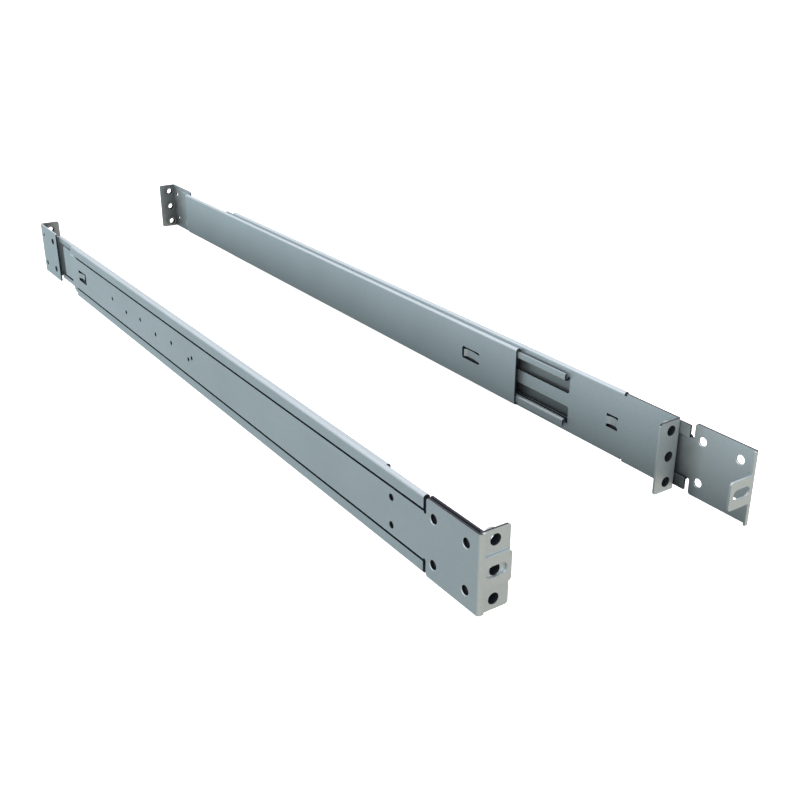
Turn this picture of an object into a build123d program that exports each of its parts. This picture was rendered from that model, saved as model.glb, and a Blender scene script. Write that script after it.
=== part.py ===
"""Pair of telescoping slide rails, one rack unit high, for carrying equipment in a rack.

Each rail has a front channel with its rack flange, a rear channel that telescopes on it to suit
the depth of the rack, an equipment member that slides inside the front channel, and a rear
bracket riveted to the rear channel. The right rail is the mirror image of the left one.

Frame: +Z up, the rails run along Y with their front at -Y, and Z = 0 is the surface that they
stand on. The origin is below the middle of the pair. Inside one rail a place is given by its
depth (from the equipment face outwards), its y (from the front face of the rack flange) and z.
"""
from build123d import *
from math import hypot
import os

# Sheet metal
sheet = 1.2             # thickness of every sheet
bend = 0.5              # inside radius of every bend
slide_gap = 0.1         # clearance between sheets that slide on each other

# Heights
height = 43.6           # one rack unit less its clearance
rear_height = 39.4      # rear channel, lower than the front channel
front_lip = 7.2         # lips of the front channel
rear_lip = 4.9          # lips of the rear channel

# Lengths along the rail
channel_length = 597.0  # front channel, from its flange's face to the end of its tail
tail_length = 20.0      # narrow tail of its web
bare_web = 15.5         # web without lips, ahead of the tail
tail_inset = 0.9        # tail's upper edge, from the height of the upper lip's edge
tail_notch = 3.0        # tail's lower edge, from the height of the lower lip's edge
member_short = 7.0      # member ends this far ahead of the tail
front_plate = 40.2      # flat plate behind the rack flange
relief = 2.2            # slot between the flat plate and the channel
bracket_plate = 44.8    # rear bracket's plate, along the rail
bracket_gap = 0.5       # rear channel's lips end this far ahead of the bracket

# Rack flanges
hole_pitch = 15.875     # vertical pitch of the rack holes
rack_hole = 6.2         # clears an M6 screw
front_hole_depth = 9.9      # front rack hole centres, from the equipment face
rear_hole_depth = 8.9       # rear rack hole centres, from the equipment face
front_flange_edge = 18.7    # free edge of the front flange, from the equipment face
rear_flange_edge = 18.0     # free edge of the rear flange, from the equipment face
nut_size = 8.6          # rack nuts, across
nut_height = 3.5
nut_bore = 5.3          # half-way between the crests and the roots of an M6 thread
corner = 1.8            # rounded free corners

# Equipment member
plate_hole = 5.2
plate_pattern = 25.4    # square hole pattern of the front plate
plate_hole_y = 8.9      # first column, from the flange's face
pair_hole = 4.0
pair_y = 70.3
row_hole = 3.2
row_pitch = 59.0        # pitch of each of the two staggered rows
row_rise = 1.35         # rows above and below the middle height
row_from_end = 100.4    # rearmost hole of the upper row, from the member's rear end
row_count = 3
extra_hole_y = 316.2
member_lip = 3.4        # front lip, from the equipment face
runner_gap = 0.3        # runner's edges, from the front channel's bends
groove = 1.0            # between the runner's raised web and the front channel's lips
step_round = 0.3        # rounding of the runner's steps
rim = 0.3               # chamfer round the front plate's holes, on both faces
tab_reach = 19.1        # slotted tab's free edge, from the equipment face
tab_height = 16.6
slot_length = 12.7
slot_height = 6.2
slot_depth = 10.1       # slot's centre, from the equipment face

# Lanced tongues, windows and bridges
lance_from_end = 37.4   # front end of the member's lance, from its rear end
lance_length = 18.7
lance_height = 9.1
lance_corner = 1.0
tongue_height = 4.2
tongue_gap = 3.5        # opening left before the tongue's tip
tongue_lean = 1.25      # member's tongue leans outwards
tongue_curl = 1.2       # and its tip turns back
rear_lance = 38.0       # from the rear channel's front end
rear_lance_length = 19.2
rear_lance_height = 8.6
rear_lance_corner = 1.6
rear_tongue_height = 5.2
rear_tongue_gap = 1.7
rear_tongue_lean = 1.2  # rear channel's tongue leans inwards
rear_tongue_curl = 1.7  # and its tip turns back
window_start = 88.0
window_length = 66.0
rear_window_from_tail = 137.0   # rear windows' front end, from the tail
bar_height = 8.8        # web left standing between two windows
window_reach = 12.8     # from the middle height to the hook's ledge
window_corner = 1.5
window_ear = 2.8        # relief at each end of a hook
hook_height = 4.8
hook_setback = 2.0      # hook starts this far inside its window
bridge_y = 45.7
bridge_length = 9.3
bridge_height = 5.0
slit = 1.8
bridge_rise = 1.1
stop_from_tail = 172.0  # bridge that stops the rear channel, from the tail

# Rear bracket
bracket_depth = 1.3     # inner face of the bracket, from the equipment face
bracket_hole = 4.2
bracket_hole_y = 8.9    # rear column, from the flange's face
lap_length = 13.0       # rear channel's lap behind the bracket
joggle_start = 3.0      # joggle, from the end of the rear channel's lips
joggle_length = 5.0
rivet_shank = 3.9
rivet_head = 6.0
rivet_head_rise = 0.5
rivet_recess = 2.6
rivet_rim = 0.3

# Where the pieces stand: the pair is laid out as two rails side by side
rail_spacing = 170.5    # between the two equipment faces
right_setback = 34.7    # right rail stands this far behind the left one
rear_closed_y = 65.0    # front end of a rear channel that is pushed right in
left_rear_pull = 17.3   # left rear channel is drawn out this far
right_rear_pull = 70.3  # right rear channel is drawn out this far
right_pull = 49.2       # right member is drawn out this far

# Depths of the sheets, from the equipment face outwards
strip_depth = sheet + slide_gap
web_depth = strip_depth + sheet + slide_gap
web_face = web_depth + sheet
rear_lip_depth = web_face + slide_gap
hook_face = rear_lip_depth + 2 * sheet + slide_gap
rear_web_depth = hook_face + slide_gap
rear_face = rear_web_depth + sheet
lap_face = bracket_depth + 2 * sheet

middle = height / 2
rear_top = middle + rear_height / 2
rear_bottom = middle - rear_height / 2
channel_start = front_plate + relief
tail_start = channel_length - tail_length
lips_end = tail_start - bare_web
member_end = tail_start - member_short
member_lance = member_end - lance_from_end
row_end = member_end - row_from_end
rear_window_start = tail_start - rear_window_from_tail
rear_stop_y = tail_start - stop_from_tail
front_end = -slide_gap - sheet      # foremost face of the equipment member

# The rear channel's joggle passes the front channel's tail when it is pushed right in
rear_lips_end = channel_length - rear_closed_y - joggle_start
rear_length = rear_lips_end + bracket_gap + bracket_plate
left_rear_y = rear_closed_y + left_rear_pull
right_rear_y = rear_closed_y + right_rear_pull

pair_back = right_setback + right_rear_y + rear_length
pair_front = min(front_end, right_setback - right_pull + front_end)
pair_middle = (pair_back + pair_front) / 2


def mitred(points, thickness):
    """The line that runs one thickness to the left of a bent line, with mitred corners."""
    sides = []
    for (x0, y0), (x1, y1) in zip(points, points[1:]):
        length = hypot(x1 - x0, y1 - y0)
        sides.append((-(y1 - y0) / length, (x1 - x0) / length))
    normals = [sides[0], *sides, sides[-1]]
    line = []
    for (x, y), (ax, ay), (bx, by) in zip(points, normals, normals[1:]):
        share = thickness / (1 + ax * bx + ay * by)
        line.append((x + (ax + bx) * share, y + (ay + by) * share))
    return line


def near(vertices, places):
    """The vertices that stand at the given places of their sketch."""
    return [v for v in vertices if any(hypot(v.X - x, v.Y - y) < 1e-4 for x, y in places)]


def across(y):
    """A plane across the rail at y: its x is the depth and its y is the height."""
    return Plane(origin=(0, y, 0), x_dir=(1, 0, 0), z_dir=(0, -1, 0))


def along(depth):
    """A plane along the rail at a depth: its x is the rail's y and its y is the height."""
    return Plane(origin=(depth, 0, 0), x_dir=(0, 1, 0), z_dir=(1, 0, 0))


def level(z):
    """A level plane: its x is the depth and its y is the rail's y."""
    return Plane.XY.offset(z)


def bent(plane, points, radius=bend, outer=0.0):
    """A bent sheet's section on a plane, on the left of a line, with every bend rounded."""
    other = mitred(points, sheet)
    outside, inside = [], []
    for i in range(1, len(points) - 1):
        (x0, y0), (x1, y1), (x2, y2) = points[i - 1:i + 2]
        left_turn = (x1 - x0) * (y2 - y1) - (y1 - y0) * (x2 - x1) > 0
        outside.append(points[i] if left_turn else other[i])
        inside.append(other[i] if left_turn else points[i])
    with BuildSketch(plane) as section:
        with BuildLine():
            Polyline(*points, *reversed(other), close=True)
        make_face()
        fillet(near(section.vertices(), outside), radius=outer or radius + sheet)
        if radius:
            fillet(near(section.vertices(), inside), radius=radius)
    return section.sketch


def opening(depth, y, z, length, tall, radius=0.0):
    """A rectangular opening, with rounded corners if a radius is given."""
    with BuildSketch(along(depth)) as outline:
        with Locations((y, z)):
            if radius:
                RectangleRounded(length, tall, radius)
            else:
                Rectangle(length, tall)
    return outline.sketch


def rack_circles(y, depth, diameter):
    """Three circles in line at the pitch of the rack holes."""
    with BuildSketch(across(y)) as circles:
        with Locations((depth, middle)):
            with GridLocations(0, hole_pitch, 1, 3):
                Circle(diameter / 2)
    return circles.sketch


def rack_nuts(y, depth):
    """Three round clinch nuts that stand on a flange's face at y and reach towards the rear."""
    with BuildPart() as nuts:
        extrude(rack_circles(y, depth, nut_size), amount=-nut_height)
        extrude(rack_circles(y, depth, nut_bore), amount=-nut_height, mode=Mode.SUBTRACT)
    return nuts.part


def tongue(face, root_y, tip_y, lean, curl, tall):
    """A sprung tongue that leans from the sheet's face by `lean`; its tip turns back by `curl`."""
    step = 1 if tip_y > root_y else -1
    bend_y = root_y + (tip_y - root_y) * 0.45
    line = [(face, root_y - step * 0.6), (face, root_y + step * 0.3), (face + lean, bend_y),
            (face + lean, tip_y - step * 2.2), (face + lean + curl, tip_y)]
    if step > 0:
        line.reverse()
    return bent(level(middle - tall / 2), line, 0.2)


def bridge(start_y, rise):
    """The strip between two slits of the web, pushed out of the web by `rise`."""
    slope = bridge_length * 0.3
    end_y = start_y + bridge_length
    line = [(web_depth, end_y + 0.6), (web_depth, end_y), (web_depth + rise, end_y - slope),
            (web_depth + rise, start_y + slope), (web_depth, start_y), (web_depth, start_y - 0.6)]
    return bent(level(middle - bridge_height / 2), line, 0.2)


def hook(start_y, up):
    """The section of a hook on a window's upper (up = 1) or lower (up = -1) edge."""
    ledge = middle + up * window_reach
    line = [(web_depth, ledge), (hook_face, ledge), (hook_face, ledge + up * hook_height)]
    if up < 0:
        line.reverse()
    return bent(across(start_y + hook_setback), line)


def front_channel():
    """The fixed channel: rack flange, flat plate, lipped channel and narrow tail."""
    flange_line = [(web_depth, front_plate), (web_depth, 0), (front_flange_edge, 0)]
    lipped_line = [(0, front_lip), (0, 0), (web_face, 0),
                   (web_face, height), (0, height), (0, height - front_lip)]
    web_height = height - 2 * (sheet + bend)
    tail_height = height - 2 * front_lip - tail_inset - tail_notch
    tail_middle = middle + (tail_notch - tail_inset) / 2
    window_height = window_reach - bar_height / 2
    with BuildPart() as channel:
        extrude(bent(level(0), flange_line), amount=height)
        fillet(channel.edges().filter_by(Axis.Y).group_by(Axis.X)[-1], radius=corner)
        extrude(bent(across(channel_start), lipped_line), amount=channel_start - lips_end)
        with BuildSketch(along(web_depth)) as web:
            with Locations(((front_plate + tail_start) / 2, middle)):
                Rectangle(tail_start - front_plate, web_height)
            with Locations((tail_start + tail_length / 2, tail_middle)):
                Rectangle(tail_length, tail_height)
        extrude(web.sketch, amount=sheet)
        holes = rack_circles(0, front_hole_depth, rack_hole)
        extrude(holes, amount=2 * sheet, both=True, mode=Mode.SUBTRACT)
        for start_y in (window_start, rear_window_start):
            for up in (1, -1):
                with BuildSketch(along(web_depth)) as window:
                    with Locations((start_y + window_length / 2,
                                    middle + up * (bar_height + window_height) / 2)):
                        RectangleRounded(window_length, window_height, window_corner)
                    ear_z = middle + up * (window_reach + window_ear / 2 - window_corner)
                    ear_height = window_ear + 2 * window_corner
                    with Locations((start_y + window_length / 2, ear_z)):
                        with GridLocations(window_length - hook_setback, 0, 2, 1):
                            Rectangle(hook_setback, ear_height)
                extrude(window.sketch, amount=sheet, mode=Mode.SUBTRACT)
                extrude(hook(start_y, up), amount=2 * hook_setback - window_length)
        for start_y, rise in ((bridge_y, -bridge_rise), (rear_stop_y, bridge_rise)):
            slits = opening(web_depth, start_y + bridge_length / 2, middle,
                            bridge_length, bridge_height + 2 * slit)
            extrude(slits, amount=sheet, mode=Mode.SUBTRACT)
            extrude(bridge(start_y, rise), amount=bridge_height)
    return channel.part


def equipment_member():
    """The sliding member: front plate with its lip and slotted tab, and a stepped runner."""
    web_edge = front_lip + groove
    strip_edge = sheet + bend + runner_gap
    runner_line = [(strip_depth, height - strip_edge), (strip_depth, height - web_edge),
                   (0, height - web_edge), (0, web_edge),
                   (strip_depth, web_edge), (strip_depth, strip_edge)]
    lance_middle = member_lance + lance_length / 2
    tongue_tip = member_lance + tongue_gap
    with BuildPart() as member:
        extrude(bent(level(0), [(0, front_plate), (0, front_end), (member_lip, front_end)]),
                amount=height)
        fillet(member.edges().filter_by(Axis.X).group_by(Axis.Y)[-1], radius=corner)
        tab_line = [(0, front_plate / 2), (0, front_end), (tab_reach, front_end)]
        extrude(bent(level(middle - tab_height / 2), tab_line), amount=tab_height)
        fillet(member.edges().filter_by(Axis.Y).group_by(Axis.X)[-1], radius=corner)
        runner = bent(across(channel_start), runner_line, 0, step_round)
        extrude(runner, amount=channel_start - member_end)
        neck = opening(0, channel_start, middle, 2 * relief, height - 2 * web_edge)
        extrude(neck, amount=sheet)
        with BuildSketch(along(0)) as holes:
            with Locations((plate_hole_y + plate_pattern / 2, middle)):
                with GridLocations(plate_pattern, plate_pattern, 2, 2):
                    Circle(plate_hole / 2)
            with Locations((pair_y, middle)):
                with GridLocations(0, hole_pitch, 1, 2):
                    Circle(pair_hole / 2)
            for i in range(row_count):
                y = row_end - i * row_pitch
                with Locations((y, middle + row_rise), (y - row_pitch / 2, middle - row_rise)):
                    Circle(row_hole / 2)
            with Locations((extra_hole_y, middle + row_rise)):
                Circle(row_hole / 2)
            with Locations((front_plate + relief / 2, middle)):
                with GridLocations(0, height - 2 * web_edge, 1, 2):
                    Circle(relief / 2)
        extrude(holes.sketch, amount=sheet, mode=Mode.SUBTRACT)
        circles = member.edges().filter_by(GeomType.CIRCLE)
        chamfer([edge for edge in circles if edge.radius == plate_hole / 2], length=rim)
        with BuildSketch(across(front_end)) as slot:
            with Locations((slot_depth, middle)):
                SlotOverall(slot_length, slot_height)
        extrude(slot.sketch, amount=2 * sheet, both=True, mode=Mode.SUBTRACT)
        lance = opening(0, lance_middle, middle, lance_length, lance_height, lance_corner)
        extrude(lance, amount=sheet, mode=Mode.SUBTRACT)
        spring = tongue(0, member_lance + lance_length, tongue_tip, tongue_lean, -tongue_curl,
                        tongue_height)
        extrude(spring, amount=tongue_height)
    return member.part


def rear_channel():
    """The telescoping channel: lipped section, sprung tongue, joggle and lap for the bracket."""
    joggle_y = rear_lips_end + joggle_start
    lap_y = joggle_y + joggle_length
    tail_height = rear_height - 2 * (sheet + bend)
    lipped_line = [(rear_lip_depth, rear_bottom + rear_lip), (rear_lip_depth, rear_bottom),
                   (rear_face, rear_bottom), (rear_face, rear_top),
                   (rear_lip_depth, rear_top), (rear_lip_depth, rear_top - rear_lip)]
    tail_line = [(rear_face, rear_lips_end - 5), (rear_face, joggle_y),
                 (lap_face, lap_y), (lap_face, lap_y + lap_length)]
    lance_middle = rear_lance + rear_lance_length / 2
    tongue_tip = rear_lance + rear_lance_length - rear_tongue_gap
    with BuildPart() as channel:
        extrude(bent(across(0), lipped_line), amount=-rear_lips_end)
        extrude(bent(level(middle - tail_height / 2), tail_line), amount=tail_height)
        with BuildSketch(along(lap_face - sheet)) as holes:
            with Locations(*rivet_centres()):
                Circle(bracket_hole / 2)
        extrude(holes.sketch, amount=sheet, mode=Mode.SUBTRACT)
        lance = opening(rear_web_depth, lance_middle, middle,
                        rear_lance_length, rear_lance_height, rear_lance_corner)
        extrude(lance, amount=sheet, mode=Mode.SUBTRACT)
        spring = tongue(rear_web_depth, rear_lance, tongue_tip, -rear_tongue_lean,
                        rear_tongue_curl, rear_tongue_height)
        extrude(spring, amount=rear_tongue_height)
    return channel.part


def rear_bracket():
    """The angle bracket at the back: hole-patterned plate and rear rack flange."""
    line = [(rear_flange_edge, rear_length), (bracket_depth, rear_length),
            (bracket_depth, rear_length - bracket_plate)]
    with BuildPart() as bracket:
        extrude(bent(level(0), line), amount=height)
        fillet(bracket.edges().filter_by(Axis.Y).group_by(Axis.X)[-1], radius=corner)
        fillet(bracket.edges().filter_by(Axis.X).group_by(Axis.Y)[0], radius=corner)
        flange_holes = rack_circles(rear_length, rear_hole_depth, rack_hole)
        extrude(flange_holes, amount=2 * sheet, both=True, mode=Mode.SUBTRACT)
        with BuildSketch(along(bracket_depth)) as holes:
            with Locations((rear_length - bracket_hole_y - plate_pattern / 2, middle)):
                with GridLocations(plate_pattern, plate_pattern, 2, 2):
                    Circle(bracket_hole / 2)
        extrude(holes.sketch, amount=sheet, mode=Mode.SUBTRACT)
    return bracket.part


def rivet_centres():
    """The two rivets' places along the rail and in height."""
    y = rear_length - bracket_hole_y - plate_pattern
    return [(y, middle + up * plate_pattern / 2) for up in (1, -1)]


def discs(depth, radius):
    """A disc on each rivet's axis."""
    with BuildSketch(along(depth)) as pair:
        with Locations(*rivet_centres()):
            Circle(radius)
    return pair.sketch


def bracket_rivets():
    """Two tubular rivets that hold the bracket to the rear channel's lap."""
    rolled = bracket_depth - rivet_rim
    with BuildPart() as rivets:
        extrude(discs(bracket_depth, rivet_shank / 2), amount=lap_face - bracket_depth)
        extrude(discs(rolled, rivet_shank / 2 + 2 * rivet_rim), amount=rivet_rim)
        extrude(discs(lap_face, rivet_head / 2), amount=rivet_head_rise)
        extrude(discs(rolled, rivet_recess / 2), amount=2 * sheet, mode=Mode.SUBTRACT)
    return rivets.part


def write_piece(shape, name, side, rail_y, slide):
    """Set a piece into the left rail, or mirrored into the right rail, and write it."""
    if side == "left":
        piece = shape.moved(Location((-rail_spacing / 2, rail_y + slide - pair_middle, 0)))
    else:
        piece = mirror(shape, about=Plane.YZ)
        piece = piece.moved(Location((rail_spacing / 2, rail_y + slide - pair_middle, 0)))
    piece.label = f"{name}_{side}"
    export_step(piece, f"parts/{name}_{side}.step")


def main():
    """Build each kind of piece once and write it into both rails."""
    os.makedirs("parts", exist_ok=True)
    channel = front_channel()
    member = equipment_member()
    rear = rear_channel()
    bracket = rear_bracket()
    rivets = bracket_rivets()
    front_nuts = rack_nuts(sheet, front_hole_depth)
    rear_nuts = rack_nuts(rear_length - sheet - nut_height, rear_hole_depth)
    rails = (("left", 0, 0, left_rear_y), ("right", right_setback, -right_pull, right_rear_y))
    for side, rail_y, pull, rear_y in rails:
        write_piece(channel, "front_channel", side, rail_y, 0)
        write_piece(front_nuts, "front_rack_nuts", side, rail_y, 0)
        write_piece(member, "equipment_member", side, rail_y, pull)
        write_piece(rear, "rear_channel", side, rail_y, rear_y)
        write_piece(bracket, "rear_bracket", side, rail_y, rear_y)
        write_piece(rivets, "bracket_rivets", side, rail_y, rear_y)
        write_piece(rear_nuts, "rear_rack_nuts", side, rail_y, rear_y)


main()
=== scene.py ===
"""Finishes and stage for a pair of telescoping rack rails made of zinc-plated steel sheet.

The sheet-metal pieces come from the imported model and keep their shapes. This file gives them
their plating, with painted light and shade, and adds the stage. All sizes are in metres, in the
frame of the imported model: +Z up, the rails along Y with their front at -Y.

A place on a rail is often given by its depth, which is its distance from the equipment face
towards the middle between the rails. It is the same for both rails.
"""
from math import radians

import bpy
from bpy.props import FloatProperty, FloatVectorProperty, PointerProperty
from bpy.types import Operator, Panel, PropertyGroup
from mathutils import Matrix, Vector


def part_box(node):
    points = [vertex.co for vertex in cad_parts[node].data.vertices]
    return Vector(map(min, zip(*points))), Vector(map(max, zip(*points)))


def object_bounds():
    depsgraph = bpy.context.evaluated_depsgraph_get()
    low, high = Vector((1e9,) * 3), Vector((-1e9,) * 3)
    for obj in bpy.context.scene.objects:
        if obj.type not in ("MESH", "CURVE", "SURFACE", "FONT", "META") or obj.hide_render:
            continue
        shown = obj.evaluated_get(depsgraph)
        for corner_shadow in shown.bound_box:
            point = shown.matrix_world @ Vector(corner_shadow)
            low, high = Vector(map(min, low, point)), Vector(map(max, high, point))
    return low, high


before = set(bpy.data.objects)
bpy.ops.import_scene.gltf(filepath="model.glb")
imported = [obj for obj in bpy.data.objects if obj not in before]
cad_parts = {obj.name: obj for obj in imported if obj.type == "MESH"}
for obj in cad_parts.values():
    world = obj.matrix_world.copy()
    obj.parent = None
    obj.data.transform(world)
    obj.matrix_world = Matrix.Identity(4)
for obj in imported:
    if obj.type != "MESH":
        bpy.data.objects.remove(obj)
CAD_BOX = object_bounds()
SIDES = ("left", "right")

# The rails' own sizes
EQUIPMENT_FACE = 0.08525    # equipment faces of both rails, from the middle plane
RAIL_HEIGHT = 0.0436
HOLE_PITCH = 0.015875       # between the rack holes of a flange
BORE_RADIUS = 0.0031        # takes in the walls of a rack nut's bore
FRONT_BORE_DEPTH = 0.0099   # depth of the front nuts' axes
REAR_BORE_DEPTH = 0.0089    # depth of the rear nuts' axes
FIRST_SHEET = 0.0014        # what is less deep lies on the sheet at the equipment face

# Where the marks of the sheets begin and end
FACES = 0.5                 # a face points along an axis if its normal has more than this there
OFF_FACE = 0.0002           # how far a limit stands off the end of a sheet
FLANGE_SHEET = 0.0020       # takes in the thickness of a flange's sheet
UPPER_PART = 0.75           # part of the rail's height above which the bare web's top lies
HOLE_WALLS = (0.12, 0.88)   # parts of the rail's height between which cut edges are hole walls
SHADOW_REACH = 0.040       # depth at which the painted shadow beside the rear flange ends
BACK_FADE = 0.014           # length in which the painted shadow on a member's back sets in

# How strong the marks are
BROAD_SHADE = 0.65           # strength of the painted shade on broad sliding faces
SHADOW_TONE = 0.75         # tone that full painted shadow takes away
EDGE_ROUGHENING = 0.12      # roughness that a cut edge gains
REAR_NUT_TONE = 0.45        # tone of the rear nuts, which stand in the flanges' shade

# The plating
METALLIC = 0.88
SPECULAR = 0.5
CLOUD_SCALE = 22.0
CLOUD_TONES = (0.93, 1.07)
GRAIN_TONES = (0.86, 1.14)
LINE_ROUGHNESS = 0.08       # most that the rolling lines add to or take from the roughness
LINE_STRETCH = (1.0, 0.025, 1.0)
SEEDS = {                   # shifts of the grain, so that no two kinds of piece share one
    "front_channel": 0.0, "equipment_member": 3.1, "rear_channel": 7.7, "rear_bracket": 9.4,
    "bracket_rivets": 12.3, "front_rack_nuts": 15.8, "rear_rack_nuts": 18.2,
}

# The stage
WHITE = (1.0, 1.0, 1.0, 1.0)
FRONT_TO_BACK = (-0.6, 0.6)         # the surround's direction along Y, from wall to wall
SIDE_TO_MIDDLE = (0.60, 0.92)       # the same within the back wall, from its sides inwards
WALL_TO_CEILING = (0.0, 0.35)       # the surround's direction along Z, upwards
WALL_TO_LOWEST = (-0.2, -0.6)       # the same downwards
PAPER_ROUGHNESS = 0.9
KEY_PLACE = (0, 0, 2)
SENSOR_WIDTH = 36.0                 # millimetres, as the lens is
CLIP_START = 0.01
CLIP_END = 100.0

# Sockets of a Mix node that mixes colours
FACTOR, FIRST_COLOUR, SECOND_COLOUR = 0, 6, 7
MIXED_COLOUR = 2

bl_info = {
    "name": "Rack Rail Finisher",
    "version": (1, 0, 0),
    "blender": (4, 5, 0),
    "location": "View3D > Sidebar > Rack Rails",
    "description": "Plates a pair of rack rails in zinc and sets them on a pale stage",
    "category": "Object",
}


class RailFinishSettings(PropertyGroup):
    """Colours, painted light and shade, and grain of the plated steel."""

    channel_colour: FloatVectorProperty(
        name="Front channel", description="Plating of the two front channels",
        subtype="COLOR", min=0.0, max=1.0, default=(0.50, 0.575, 0.60))
    member_colour: FloatVectorProperty(
        name="Equipment member", description="Plating of the two sliding members",
        subtype="COLOR", min=0.0, max=1.0, default=(0.52, 0.59, 0.615))
    rear_colour: FloatVectorProperty(
        name="Rear channel", description="Plating of the rear channels and their brackets",
        subtype="COLOR", min=0.0, max=1.0, default=(0.49, 0.565, 0.59))
    rivet_colour: FloatVectorProperty(
        name="Rivets and nuts", description="Plating of the rivets and the rack nuts",
        subtype="COLOR", min=0.0, max=1.0, default=(0.46, 0.50, 0.51))
    # Cut edges: partly bare sheared steel, partly painted shade that darkens edges, slits and
    # gaps.
    edge_and_shade_colour: FloatVectorProperty(
        name="Cut edges", description="Sheared edges of the sheets",
        subtype="COLOR", min=0.0, max=1.0, default=(0.060, 0.062, 0.078))
    # Painted shade, a dull dark film, inside the channels, in the grooves, hole walls, nut bores
    # and rivet recesses.
    painted_shade_colour: FloatVectorProperty(
        name="Painted shade", description="Film on the sliding faces and in the holes",
        subtype="COLOR", min=0.0, max=1.0, default=(0.012, 0.017, 0.022))
    # Painted light and shade on the outer faces: lighter at the top edge, darker towards the
    # bottom edge.
    outer_shading_high: FloatProperty(
        name="Outer tone, high", description="Tone of the outer faces at the rail's top edge",
        subtype="FACTOR", min=0.0, max=1.5, default=1.16)
    outer_shading_low: FloatProperty(
        name="Outer tone, low", description="Tone of the outer faces at the rail's bottom edge",
        subtype="FACTOR", min=0.0, max=1.5, default=0.45)
    # Painted light on the upward faces.
    top_light: FloatProperty(
        name="Top tone", description="Tone of the upward faces",
        subtype="FACTOR", min=0.0, max=2.0, default=1.18)
    roughness: FloatProperty(
        name="Roughness", description="Mean roughness of the plating",
        subtype="FACTOR", min=0.0, max=1.0, default=0.44)
    grain_size: FloatProperty(
        name="Grain size", description="Width of one grain of the plating",
        subtype="DISTANCE", min=0.0001, max=0.01, default=0.0009)
    grain_depth: FloatProperty(
        name="Grain depth", description="Height of the plating's grain",
        subtype="DISTANCE", min=0.0, max=0.0005, default=0.000012)


class RailStageSettings(PropertyGroup):
    """Camera, lights and floor."""

    camera_place: FloatVectorProperty(
        name="Camera place", description="Where the camera stands",
        subtype="TRANSLATION", default=(-0.33785, -0.67745, 0.28685))
    camera_pitch: FloatProperty(
        name="Camera pitch", description="How far the camera looks down",
        subtype="ANGLE", default=radians(23.954))
    camera_heading: FloatProperty(
        name="Camera heading", description="The camera's turn from +Y towards +X",
        subtype="ANGLE", default=radians(33.915))
    lens: FloatProperty(
        name="Lens", description="Focal length in millimetres on a 36 mm wide sensor",
        min=10.0, max=200.0, default=47.25)
    floor_size: FloatProperty(
        name="Floor size", description="Side of the square floor",
        subtype="DISTANCE", min=1.0, max=900.0, default=600.0)
    floor_colour: FloatVectorProperty(
        name="Floor colour", description="Colour of the floor",
        subtype="COLOR", min=0.0, max=1.0, default=(0.9, 0.9, 0.9))
    floor_glow: FloatProperty(
        name="Floor glow", description="Light that the floor gives off, to keep it white",
        min=0.0, max=5.0, default=0.9)
    back_wall: FloatVectorProperty(
        name="Back wall", description="Colour of the surround behind the rails",
        subtype="COLOR", min=0.0, max=2.0, default=(0.485, 0.60, 0.635))
    side_shade: FloatProperty(
        name="Side shade", description="How much darker the back wall is at its sides",
        subtype="FACTOR", min=0.0, max=1.0, default=0.30)
    front_wall: FloatVectorProperty(
        name="Front wall", description="Colour of the surround in front of the rails",
        subtype="COLOR", min=0.0, max=2.0, default=(0.82, 0.745, 0.625))
    ceiling: FloatVectorProperty(
        name="Ceiling", description="Colour of the surround above the rails",
        subtype="COLOR", min=0.0, max=2.0, default=(1.12, 1.06, 1.10))
    low_shade: FloatProperty(
        name="Low shade", description="How much darker the surround is far below the horizon",
        subtype="FACTOR", min=0.0, max=1.0, default=0.35)
    wall_strength: FloatProperty(
        name="Surround strength", description="Strength of the light from the surround",
        min=0.0, max=5.0, default=1.0)
    key_from: FloatVectorProperty(
        name="Key direction", description="Direction that the key light comes from",
        subtype="DIRECTION", default=(-0.55, -0.35, 0.75))
    key_strength: FloatProperty(
        name="Key strength", description="Strength of the key light",
        min=0.0, max=20.0, default=0.8)
    key_softness: FloatProperty(
        name="Key softness", description="Width of the key light as an angle",
        subtype="ANGLE", default=radians(14))
    key_colour: FloatVectorProperty(
        name="Key colour", description="Colour of the key light",
        subtype="COLOR", min=0.0, max=1.0, default=(0.95, 0.98, 1.0))


def settings():
    """The finish and stage settings of the scene."""
    return bpy.context.scene.rail_finish, bpy.context.scene.rail_stage


def feed(tree, value, socket):
    """Set an input socket to a number or colour, or join another node's output to it."""
    if isinstance(value, (int, float, tuple)):
        socket.default_value = value
    else:
        tree.links.new(value, socket)


def source(socket):
    """The output that is joined to an input socket."""
    return socket.links[0].from_socket


def calc(tree, operation, *values):
    """Add a math node on plain numbers or other nodes' outputs, and return its output."""
    node = tree.nodes.new("ShaderNodeMath")
    node.operation = operation
    for value, socket in zip(values, node.inputs):
        feed(tree, value, socket)
    return node.outputs[0]


def above(tree, value, limit):
    """Mask: 1 where a value is above a limit."""
    return calc(tree, "GREATER_THAN", value, limit)


def below(tree, value, limit):
    """Mask: 1 where a value is below a limit."""
    return calc(tree, "LESS_THAN", value, limit)


def between(tree, value, low, high):
    """Mask: 1 where a value is between two limits."""
    return both(tree, above(tree, value, low), below(tree, value, high))


def both(tree, first, *others):
    """Join masks: the result is 1 where every mask is 1."""
    for other in others:
        first = calc(tree, "MULTIPLY", first, other)
    return first


def either(tree, first, *others):
    """Join masks: the result is 1 where any mask is 1."""
    for other in others:
        first = calc(tree, "MAXIMUM", first, other)
    return first


def opposite(tree, mask):
    """Turn a mask round: the result is 1 where the mask is 0."""
    return calc(tree, "SUBTRACT", 1.0, mask)


def ranged(tree, value, low, high, span=(0.0, 1.0)):
    """Map a value that goes through the span to the range from low to high."""
    node = tree.nodes.new("ShaderNodeMapRange")
    numbers = {"From Min": span[0], "From Max": span[1], "To Min": low, "To Max": high}
    for socket, number in numbers.items():
        node.inputs[socket].default_value = number
    feed(tree, value, node.inputs["Value"])
    return node.outputs["Result"]


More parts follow.
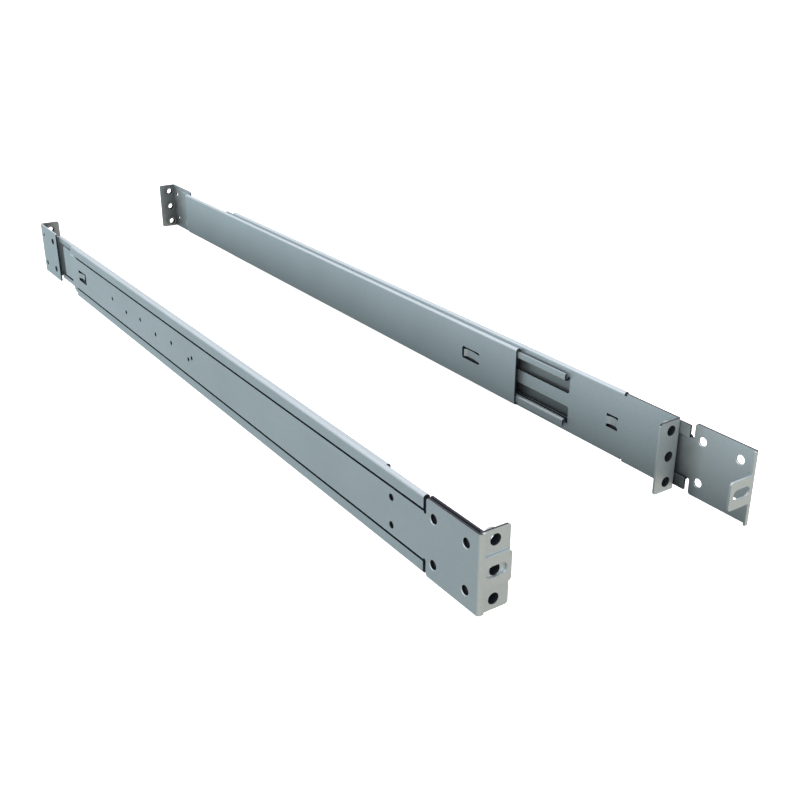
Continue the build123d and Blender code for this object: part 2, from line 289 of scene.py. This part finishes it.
def blended(tree, factor, first, second, blend="MIX"):
    """Mix two colours, or a colour and a grey value, and return the colour."""
    node = tree.nodes.new("ShaderNodeMix")
    node.data_type = "RGBA"
    node.blend_type = blend
    feed(tree, factor, node.inputs[FACTOR])
    feed(tree, first, node.inputs[FIRST_COLOUR])
    feed(tree, second, node.inputs[SECOND_COLOUR])
    return node.outputs[MIXED_COLOUR]


def vector_calc(tree, operation, first, second):
    """Add a vector math node, and return its vector."""
    node = tree.nodes.new("ShaderNodeVectorMath")
    node.operation = operation
    feed(tree, first, node.inputs[0])
    feed(tree, second, node.inputs[1])
    return node.outputs[0]


def noise(tree, place, scale, detail, roughness=0.5):
    """Add a noise texture, and return its value."""
    node = tree.nodes.new("ShaderNodeTexNoise")
    feed(tree, place, node.inputs["Vector"])
    feed(tree, scale, node.inputs["Scale"])
    node.inputs["Detail"].default_value = detail
    node.inputs["Roughness"].default_value = roughness
    return node.outputs["Fac"]


def axes(tree, vector):
    """Split a vector into its x, y and z."""
    node = tree.nodes.new("ShaderNodeSeparateXYZ")
    tree.links.new(vector, node.inputs[0])
    return node.outputs


def rail_place(tree):
    """The shaded point's x, y and z, and its depth from the equipment face."""
    x, y, z = axes(tree, tree.nodes.new("ShaderNodeTexCoord").outputs["Object"])
    depth = calc(tree, "SUBTRACT", EQUIPMENT_FACE, calc(tree, "ABSOLUTE", x))
    return x, y, z, depth


def rail_facing(tree, x):
    """The face's normal x, y and z, and how far it points away from the equipment."""
    normal = tree.nodes.new("ShaderNodeNewGeometry").outputs["True Normal"]
    facing_x, facing_y, facing_z = axes(tree, normal)
    toward = calc(tree, "MULTIPLY", facing_x, calc(tree, "SIGN", x))
    return facing_x, facing_y, facing_z, calc(tree, "MULTIPLY", toward, -1.0)


def new_group(name, inputs, outputs):
    """Start a node group of numbers, and return its tree, its inputs and its outputs.

    The inputs are given with their defaults.
    """
    tree = bpy.data.node_groups.new(name, "ShaderNodeTree")
    for socket, default in inputs.items():
        entry = tree.interface.new_socket(socket, in_out="INPUT", socket_type="NodeSocketFloat")
        entry.default_value = default
    for socket in outputs:
        tree.interface.new_socket(socket, in_out="OUTPUT", socket_type="NodeSocketFloat")
    inward = tree.nodes.new("NodeGroupInput")
    outward = tree.nodes.new("NodeGroupOutput")
    return tree, inward.outputs, outward.inputs


def plated_grain():
    """Node group: the grain, rolling lines and cloudy tone of rolled, zinc-plated sheet."""
    name = "plated_grain"
    if name in bpy.data.node_groups:
        return bpy.data.node_groups[name]
    tree, given, result = new_group(name, {"Grain Size": 0.001, "Seed": 0.0},
                                    ("Grain", "Lines", "Cloud"))
    place = tree.nodes.new("ShaderNodeTexCoord").outputs["Object"]
    shifted = vector_calc(tree, "ADD", place, given["Seed"])
    stretched = vector_calc(tree, "MULTIPLY", shifted, LINE_STRETCH)
    scale = calc(tree, "DIVIDE", 1.0, given["Grain Size"])
    textures = {"Grain": noise(tree, shifted, scale, detail=3.0, roughness=0.65),
                "Lines": noise(tree, stretched, scale, detail=2.0),
                "Cloud": noise(tree, shifted, CLOUD_SCALE, detail=4.0)}
    for socket, texture in textures.items():
        tree.links.new(texture, result[socket])
    return tree


# Inputs of the group sheet_marks, each with a value that marks nothing. Depths and heights
# are measured from the equipment face and from the rail's underside.
LIMITS = {
    "Flange From": 1.0,         # the rack flange's sheet, along Y
    "Flange To": 0.0,
    "Flange Depth": 1.0,        # the flange's flat part, from its bend to its free edge
    "Flange Edge": 1.0,         # the free edge itself stays bright
    "Flange Shadow": 0.0,      # how strongly painted shadow darkens the flange's forward face
    "Channel From": 1.0,        # the rolled channel or the runner, along Y
    "Channel To": 0.0,
    "Low Bend": -1.0,           # heights of the channel's rolled edges, which are no cut edges
    "High Bend": 1.0,
    "Web Shade": 1.0,            # deeper than this, faces towards the equipment slide and get painted shade
    "Lip Shade": -1.0,           # less deep than this, other faces slide, as those of the lips, and get painted shade
    "Plate Shade": 0.0,          # strength of the painted shade between flange and channel
    "Groove From": 1.0,         # painted shade in the grooves between lips and runner, from the middle height
    "Groove To": 0.0,
    "Ledge Depth": 1.0,         # deeper than this, lanced hooks and bridges have no cut edges
    "Back From": 0.0,           # where the painted shadow on a member's back begins
    "Back Shadow": 0.0,        # how strong that painted shadow is
}
MARKS = ("Edge", "Shade", "Outer", "Top", "Height", "Shadow")


def sheet_marks():
    """Node group: masks of a bent sheet's cut edges, painted shade, painted shadow, outer and
    upward faces.
    """
    name = "sheet_marks"
    if name in bpy.data.node_groups:
        return bpy.data.node_groups[name]
    tree, limit, result = new_group(name, LIMITS, MARKS)
    x, y, z, depth = rail_place(tree)
    facing_x, facing_y, facing_z, away = rail_facing(tree, x)
    level = above(tree, calc(tree, "ABSOLUTE", facing_z), FACES)
    edgewise = below(tree, calc(tree, "ABSOLUTE", facing_x), FACES)
    lengthwise = below(tree, calc(tree, "ABSOLUTE", facing_y), FACES)
    inner = below(tree, away, -FACES)
    outer = above(tree, away, FACES)

    by_flange = between(tree, y, limit["Flange From"], limit["Flange To"])
    past_bend = between(tree, depth, limit["Flange Depth"], limit["Flange Edge"])
    rim = either(tree, level, both(tree, past_bend, lengthwise))
    flange_edge = both(tree, by_flange, below(tree, depth, limit["Flange Edge"]), rim)

    ahead = below(tree, y, limit["Channel To"])
    along_channel = both(tree, above(tree, y, limit["Channel From"]), ahead)
    at_bends = either(tree, below(tree, z, limit["Low Bend"]), above(tree, z, limit["High Bend"]))
    rolled = both(tree, along_channel, lengthwise, at_bends)
    bare_top = both(tree, opposite(tree, ahead), above(tree, z, UPPER_PART * RAIL_HEIGHT), level)
    ledge = both(tree, above(tree, depth, limit["Ledge Depth"]), lengthwise)
    plain = either(tree, rolled, bare_top, ledge)
    web_edge = both(tree, edgewise, opposite(tree, plain), opposite(tree, by_flange))
    low_wall, high_wall = [part * RAIL_HEIGHT for part in HOLE_WALLS]
    # Hole walls get painted shade.
    hole_shade = both(tree, web_edge, between(tree, z, low_wall, high_wall))

    # Painted shade on the sliding faces inside the channels, in the grooves and on the plate's
    # inner face.
    web_shade = both(tree, inner, above(tree, depth, limit["Web Shade"]))
    lip_shade = both(tree, above(tree, away, -FACES), below(tree, depth, limit["Lip Shade"]),
                    opposite(tree, rolled))
    offset = calc(tree, "ABSOLUTE", calc(tree, "SUBTRACT", z, RAIL_HEIGHT / 2))
    groove_shade = both(tree, between(tree, offset, limit["Groove From"], limit["Groove To"]),
                  below(tree, depth, FIRST_SHEET))
    broad_shade = calc(tree, "MULTIPLY", either(tree, web_shade, lip_shade), BROAD_SHADE)
    channel_shade = both(tree, along_channel, lengthwise, either(tree, broad_shade, groove_shade))
    on_plate = both(tree, between(tree, y, limit["Flange To"], limit["Channel From"]), inner)
    plate_shade = both(tree, limit["Plate Shade"], on_plate)

    # Painted shadow on a member's back beside the front flange, and on the rear flange's forward
    # face.
    slope = calc(tree, "DIVIDE", calc(tree, "SUBTRACT", y, limit["Back From"]), BACK_FADE)
    fade = calc(tree, "MINIMUM", calc(tree, "MAXIMUM", slope, 0.0), 1.0)
    back = both(tree, limit["Back Shadow"], outer, fade)
    nearness = calc(tree, "DIVIDE", calc(tree, "SUBTRACT", SHADOW_REACH, depth), SHADOW_REACH)
    corner_shadow = both(tree, by_flange, limit["Flange Shadow"], below(tree, facing_y, -FACES),
                  nearness)

    marks = {"Edge": calc(tree, "ADD", flange_edge, web_edge),
             "Shade": either(tree, plate_shade, channel_shade, hole_shade),
             "Outer": outer,
             "Top": calc(tree, "MAXIMUM", facing_z, 0.0),
             "Height": calc(tree, "DIVIDE", z, RAIL_HEIGHT),
             "Shadow": either(tree, corner_shadow, back)}
    for socket, mark in marks.items():
        tree.links.new(mark, result[socket])
    return tree


def sheet_limits(node):
    """Where a sheet's flange, bends and sliding faces lie, by the names of LIMITS."""
    low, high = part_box(node)
    front, rear = low[1], high[1]
    kind = node.rsplit("_", 1)[0]
    own = {
        "front_channel": {
            "Flange From": front - OFF_FACE, "Flange To": front + FLANGE_SHEET,
            "Flange Depth": 0.0044, "Flange Edge": 0.0185,
            "Channel From": front + 0.0426, "Channel To": front + 0.5613,
            "Low Bend": 0.0017, "High Bend": 0.0419,
            "Web Shade": 0.0024, "Lip Shade": 0.00135, "Plate Shade": 0.95,
            "Groove From": 0.0, "Groove To": 0.01475, "Ledge Depth": 0.0042,
        },
        "equipment_member": {
            "Flange From": front - OFF_FACE, "Flange To": front + FLANGE_SHEET,
            "Flange Depth": 0.0018, "Flange Edge": 0.0018,
            "Channel From": front + 0.0440, "Channel To": front + 0.5560,
            "Groove From": 0.01335, "Groove To": 0.0148,
            "Back From": front + 0.0340, "Back Shadow": 0.55,
        },
        "rear_channel": {
            "Channel From": front + OFF_FACE, "Channel To": front + 0.5288,
            "Low Bend": low[2] + 0.0018, "High Bend": high[2] - 0.0018,
            "Web Shade": 0.0063, "Lip Shade": 0.0053,
        },
        "rear_bracket": {
            "Flange From": rear - FLANGE_SHEET, "Flange To": rear + OFF_FACE,
            "Flange Depth": 0.0031, "Flange Edge": 0.0178, "Flange Shadow": 1.0,
        },
    }
    return {**LIMITS, **own[kind]}


def plated_steel(name, colour, seed):
    """Bright zinc plating on rolled sheet: satin metal with a fine speckle."""
    finish = settings()[0]
    material = bpy.data.materials.new(name)
    material.use_nodes = True
    tree = material.node_tree
    steel = tree.nodes["Principled BSDF"].inputs
    steel["Metallic"].default_value = METALLIC
    group = tree.nodes.new("ShaderNodeGroup")
    group.node_tree = plated_grain()
    group.inputs["Grain Size"].default_value = finish.grain_size
    group.inputs["Seed"].default_value = seed
    grain = group.outputs

    shade = calc(tree, "MULTIPLY", ranged(tree, grain["Cloud"], *CLOUD_TONES),
                 ranged(tree, grain["Grain"], *GRAIN_TONES))
    feed(tree, blended(tree, 1.0, (*colour, 1.0), shade, "MULTIPLY"), steel["Base Color"])
    feed(tree, ranged(tree, grain["Lines"], finish.roughness - LINE_ROUGHNESS,
                      finish.roughness + LINE_ROUGHNESS), steel["Roughness"])
    bump = tree.nodes.new("ShaderNodeBump")
    bump.inputs["Distance"].default_value = finish.grain_depth
    feed(tree, grain["Grain"], bump.inputs["Height"])
    feed(tree, bump.outputs["Normal"], steel["Normal"])
    return material


def paint_shade(tree, mask):
    """Paint dark shade, a dull film without shine, over the metal where the mask is 1."""
    steel = tree.nodes["Principled BSDF"].inputs
    paint = source(steel["Base Color"])
    dark_shade = (*settings()[0].painted_shade_colour, 1.0)
    feed(tree, blended(tree, mask, paint, dark_shade), steel["Base Color"])
    for socket, shine in (("Metallic", METALLIC), ("Specular IOR Level", SPECULAR)):
        feed(tree, calc(tree, "MULTIPLY_ADD", mask, -shine, shine), steel[socket])


def sheet_steel(name, colour, seed, limits):
    """Plated steel of a bent sheet, with dark cut edges and painted light, shade and shadow."""
    finish = settings()[0]
    material = plated_steel(name, colour, seed)
    tree = material.node_tree
    steel = tree.nodes["Principled BSDF"].inputs
    group = tree.nodes.new("ShaderNodeGroup")
    group.node_tree = sheet_marks()
    for socket, value in limits.items():
        group.inputs[socket].default_value = value
    mark = group.outputs

    # Painted light and shade: outer faces lighter at the top and darker towards the bottom,
    # upward faces lighter, painted shadow darker.
    by_height = calc(tree, "MULTIPLY_ADD", mark["Height"],
                     finish.outer_shading_high - finish.outer_shading_low, finish.outer_shading_low - 1.0)
    tone = calc(tree, "MULTIPLY_ADD", mark["Outer"], by_height, 1.0)
    tone = calc(tree, "MULTIPLY_ADD", mark["Top"], finish.top_light - 1.0, tone)
    tone = calc(tree, "MULTIPLY_ADD", mark["Shadow"], -SHADOW_TONE, tone)
    paint = blended(tree, 1.0, source(steel["Base Color"]), tone, "MULTIPLY")
    # Cut edges: partly bare sheared steel, partly painted shade.
    paint = blended(tree, mark["Edge"], paint, (*finish.edge_and_shade_colour, 1.0))
    feed(tree, paint, steel["Base Color"])
    paint_shade(tree, mark["Shade"])
    rough = calc(tree, "MULTIPLY_ADD", mark["Edge"], EDGE_ROUGHENING, source(steel["Roughness"]))
    feed(tree, rough, steel["Roughness"])
    return material


def rivet_steel(name, colour, seed):
    """Plated steel of the rivets, with painted shade on all but their outer faces."""
    material = plated_steel(name, colour, seed)
    tree = material.node_tree
    x = rail_place(tree)[0]
    away = rail_facing(tree, x)[-1]
    paint_shade(tree, below(tree, away, FACES))
    return material


def nut_steel(name, colour, seed, bore_depth):
    """Plated steel of three nuts in line, with painted shade in their bores, which run along Y.
    """
    material = plated_steel(name, colour, seed)
    tree = material.node_tree
    _, _, z, depth = rail_place(tree)
    offset = calc(tree, "ABSOLUTE", calc(tree, "SUBTRACT", z, RAIL_HEIGHT / 2))
    to_outer = calc(tree, "ABSOLUTE", calc(tree, "SUBTRACT", offset, HOLE_PITCH))
    height = calc(tree, "MINIMUM", offset, to_outer)
    across = calc(tree, "SUBTRACT", depth, bore_depth)
    radius = calc(tree, "SQRT", calc(tree, "ADD", calc(tree, "MULTIPLY", height, height),
                                     calc(tree, "MULTIPLY", across, across)))
    paint_shade(tree, below(tree, radius, BORE_RADIUS))
    return material


def dress(node, material):
    """Give a sheet-metal node its finish."""
    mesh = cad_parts[node].data
    mesh.materials.clear()
    mesh.materials.append(material)


def dress_sheets(kind, colour):
    """Plate both rails' sheets of one kind, each with the marks of its own place."""
    for side in SIDES:
        node = f"{kind}_{side}"
        dress(node, sheet_steel(f"{node}_steel", colour, SEEDS[kind], sheet_limits(node)))


class RAIL_OT_front_channels(Operator):
    """Plate the two front channels"""

    bl_idname = "rail.front_channels"
    bl_label = "Plate the Front Channels"

    def execute(self, context):
        dress_sheets("front_channel", settings()[0].channel_colour)
        return {"FINISHED"}


class RAIL_OT_equipment_members(Operator):
    """Plate the two sliding members"""

    bl_idname = "rail.equipment_members"
    bl_label = "Plate the Equipment Members"

    def execute(self, context):
        dress_sheets("equipment_member", settings()[0].member_colour)
        return {"FINISHED"}


class RAIL_OT_rear_channels(Operator):
    """Plate the two rear channels and their brackets"""

    bl_idname = "rail.rear_channels"
    bl_label = "Plate the Rear Channels"

    def execute(self, context):
        dress_sheets("rear_channel", settings()[0].rear_colour)
        dress_sheets("rear_bracket", settings()[0].rear_colour)
        return {"FINISHED"}


class RAIL_OT_rivets_and_nuts(Operator):
    """Plate the brackets' rivets and the rack flanges' nuts"""

    bl_idname = "rail.rivets_and_nuts"
    bl_label = "Plate the Rivets and Nuts"

    def execute(self, context):
        colour = settings()[0].rivet_colour
        shaded = [REAR_NUT_TONE * part for part in colour]
        steels = {
            "bracket_rivets": rivet_steel("rivet_steel", colour, SEEDS["bracket_rivets"]),
            "front_rack_nuts": nut_steel("front_nut_steel", colour, SEEDS["front_rack_nuts"],
                                         FRONT_BORE_DEPTH),
            "rear_rack_nuts": nut_steel("rear_nut_steel", shaded, SEEDS["rear_rack_nuts"],
                                        REAR_BORE_DEPTH),
        }
        for kind, steel in steels.items():
            for side in SIDES:
                dress(f"{kind}_{side}", steel)
        return {"FINISHED"}


def surround(stage):
    """Studio surround: a cool wall behind, a warm wall in front and a bright ceiling.

    It lights the rails and shows in their plating, while the camera itself sees white.
    """
    world = bpy.data.worlds.new("surround")
    world.use_nodes = True
    tree = world.node_tree
    sky = tree.nodes["Background"].inputs
    sky["Strength"].default_value = stage.wall_strength
    _, y, z = axes(tree, tree.nodes.new("ShaderNodeTexCoord").outputs["Generated"])

    sides = ranged(tree, y, 1.0 - stage.side_shade, 1.0, SIDE_TO_MIDDLE)
    back = blended(tree, 1.0, (*stage.back_wall, 1.0), sides, "MULTIPLY")
    walls = blended(tree, ranged(tree, y, 0.0, 1.0, FRONT_TO_BACK),
                    (*stage.front_wall, 1.0), back)
    room = blended(tree, ranged(tree, z, 0.0, 1.0, WALL_TO_CEILING),
                   walls, (*stage.ceiling, 1.0))
    lowered = ranged(tree, z, 1.0, 1.0 - stage.low_shade, WALL_TO_LOWEST)
    shaded = blended(tree, 1.0, room, lowered, "MULTIPLY")
    seen = tree.nodes.new("ShaderNodeLightPath").outputs["Is Camera Ray"]
    feed(tree, blended(tree, seen, shaded, WHITE), sky["Color"])
    return world


class RAIL_OT_stage(Operator):
    """Add the floor, the lights and the camera"""

    bl_idname = "rail.stage"
    bl_label = "Set the Stage"

    def execute(self, context):
        stage = settings()[1]
        bpy.ops.object.select_all(action="DESELECT")
        bpy.ops.mesh.primitive_plane_add(size=stage.floor_size, location=(0, 0, CAD_BOX[0].z))
        floor = bpy.context.object
        floor.name = "floor"
        bpy.ops.object.transform_apply(location=True, rotation=True, scale=True)
        paper = bpy.data.materials.new("floor_paper")
        paper.use_nodes = True
        base = paper.node_tree.nodes["Principled BSDF"].inputs
        base["Base Color"].default_value = (*stage.floor_colour, 1.0)
        base["Roughness"].default_value = PAPER_ROUGHNESS
        base["Emission Color"].default_value = WHITE
        base["Emission Strength"].default_value = stage.floor_glow
        floor.data.materials.append(paper)
        floor.visible_glossy = False

        context.scene.world = surround(stage)
        bpy.ops.object.light_add(type="SUN", location=KEY_PLACE)
        key = bpy.context.object
        key.name = "key_light"
        key.rotation_euler = Vector(stage.key_from).to_track_quat("Z", "Y").to_euler()
        key.data.energy = stage.key_strength
        key.data.angle = stage.key_softness
        key.data.color = stage.key_colour

        bpy.ops.object.camera_add(location=stage.camera_place)
        camera = bpy.context.object
        camera.name = "camera"
        camera.rotation_euler = (radians(90) - stage.camera_pitch, 0, -stage.camera_heading)
        camera.data.sensor_width = SENSOR_WIDTH
        camera.data.lens = stage.lens
        camera.data.clip_start = CLIP_START
        camera.data.clip_end = CLIP_END
        context.scene.camera = camera
        context.scene.view_settings.view_transform = "Standard"
        return {"FINISHED"}


class RAIL_PT_panel(Panel):
    """The rail tools in the sidebar"""

    bl_label = "Rack Rails"
    bl_idname = "RAIL_PT_panel"
    bl_space_type = "VIEW_3D"
    bl_region_type = "UI"
    bl_category = "Rack Rails"

    def draw(self, context):
        for group in settings():
            box = self.layout.box()
            for prop in group.__annotations__:
                box.prop(group, prop)
        for step in STEPS:
            self.layout.operator(step.bl_idname)


STEPS = (RAIL_OT_front_channels, RAIL_OT_equipment_members, RAIL_OT_rear_channels,
         RAIL_OT_rivets_and_nuts, RAIL_OT_stage)
CLASSES = (RailFinishSettings, RailStageSettings, *STEPS, RAIL_PT_panel)


def register():
    for cls in CLASSES:
        bpy.utils.register_class(cls)
    bpy.types.Scene.rail_finish = PointerProperty(type=RailFinishSettings)
    bpy.types.Scene.rail_stage = PointerProperty(type=RailStageSettings)


def unregister():
    del bpy.types.Scene.rail_stage
    del bpy.types.Scene.rail_finish
    for cls in reversed(CLASSES):
        bpy.utils.unregister_class(cls)


def main():
    """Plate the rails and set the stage."""
    register()
    for step in STEPS:
        category, name = step.bl_idname.split(".")
        getattr(getattr(bpy.ops, category), name)()


if __name__ == "__main__":
    main()
